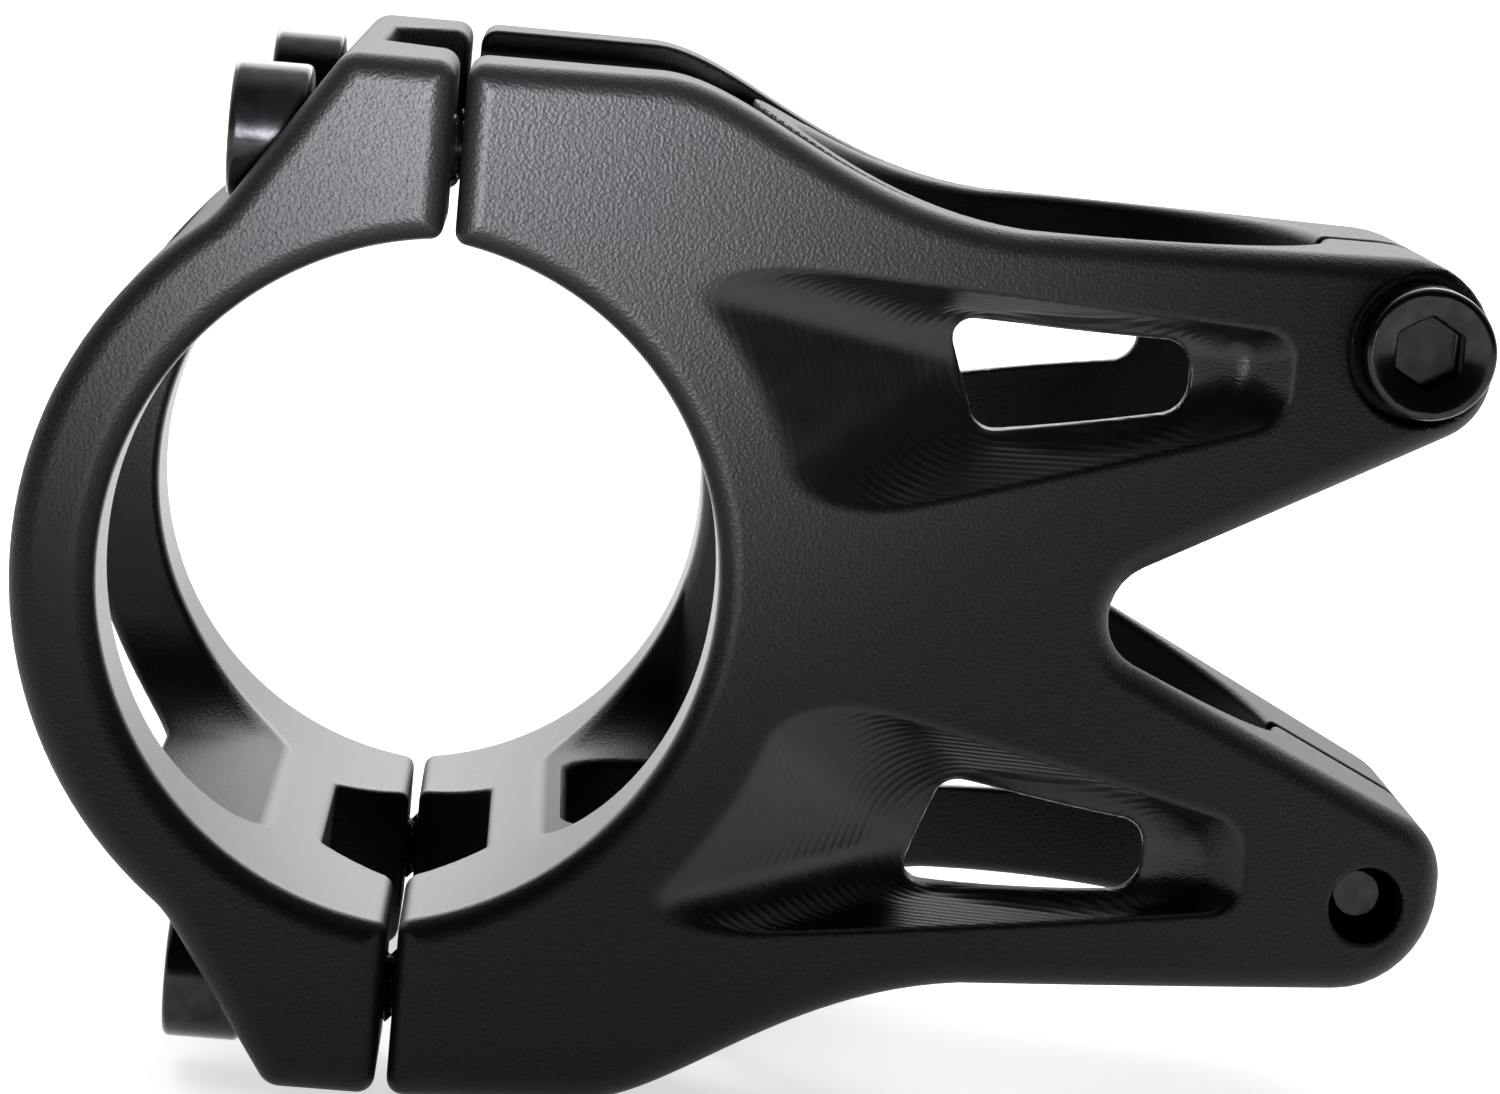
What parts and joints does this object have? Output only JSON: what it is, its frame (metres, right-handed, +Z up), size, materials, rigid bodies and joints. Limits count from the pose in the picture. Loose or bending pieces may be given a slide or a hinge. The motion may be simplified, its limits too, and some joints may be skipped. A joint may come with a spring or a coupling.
{
  "type": "handlebar stem",
  "caption": "Short open-frame handlebar stem: bar clamp with bolted faceplate, two splayed arms to a slotted steerer clamp, cap screws.",
  "frame": {"origin": "on the steerer axis, at the lower face of the steerer clamp", "axes": "+Z up along the steerer axis, +X rearwards from the handlebar to the steerer clamp's slot, +Y along the handlebar to the rider's right"},
  "size_m": [0.0764, 0.0504, 0.0527],
  "materials": {
    "anodised": "bead-blasted black anodising, satin",
    "black_oxide": "black oxide, oiled gloss"
  },
  "bodies": {
    "stem": {"stem_body": "anodised"},
    "faceplate_body": {"faceplate": "anodised"},
    "faceplate_bolt_top_left_body": {"faceplate_bolt_top_left": "black_oxide"},
    "faceplate_bolt_top_right_body": {"faceplate_bolt_top_right": "black_oxide"},
    "faceplate_bolt_bottom_left_body": {"faceplate_bolt_bottom_left": "black_oxide"},
    "faceplate_bolt_bottom_right_body": {"faceplate_bolt_bottom_right": "black_oxide"},
    "pinch_bolt_upper_body": {"pinch_bolt_upper": "black_oxide"},
    "pinch_bolt_lower_body": {"pinch_bolt_lower": "black_oxide"}
  },
  "joints": [
    {"name": "faceplate_release", "type": "slide", "parent": "stem", "child": "faceplate_body", "axis": [-1, 0, 0], "range_m": [0, 0.025]},
    {"name": "faceplate_bolt_top_left_withdraw", "type": "slide", "parent": "faceplate_body", "child": "faceplate_bolt_top_left_body", "axis": [-1, 0, 0], "range_m": [0, 0.018]},
    {"name": "faceplate_bolt_top_right_withdraw", "type": "slide", "parent": "faceplate_body", "child": "faceplate_bolt_top_right_body", "axis": [-1, 0, 0], "range_m": [0, 0.018]},
    {"name": "faceplate_bolt_bottom_left_withdraw", "type": "slide", "parent": "faceplate_body", "child": "faceplate_bolt_bottom_left_body", "axis": [-1, 0, 0], "range_m": [0, 0.018]},
    {"name": "faceplate_bolt_bottom_right_withdraw", "type": "slide", "parent": "faceplate_body", "child": "faceplate_bolt_bottom_right_body", "axis": [-1, 0, 0], "range_m": [0, 0.018]},
    {"name": "pinch_bolt_upper_withdraw", "type": "slide", "parent": "stem", "child": "pinch_bolt_upper_body", "axis": [0, -1, 0], "range_m": [0, 0.019]},
    {"name": "pinch_bolt_lower_withdraw", "type": "slide", "parent": "stem", "child": "pinch_bolt_lower_body", "axis": [0, 1, 0], "range_m": [0, 0.019]}
  ]
}
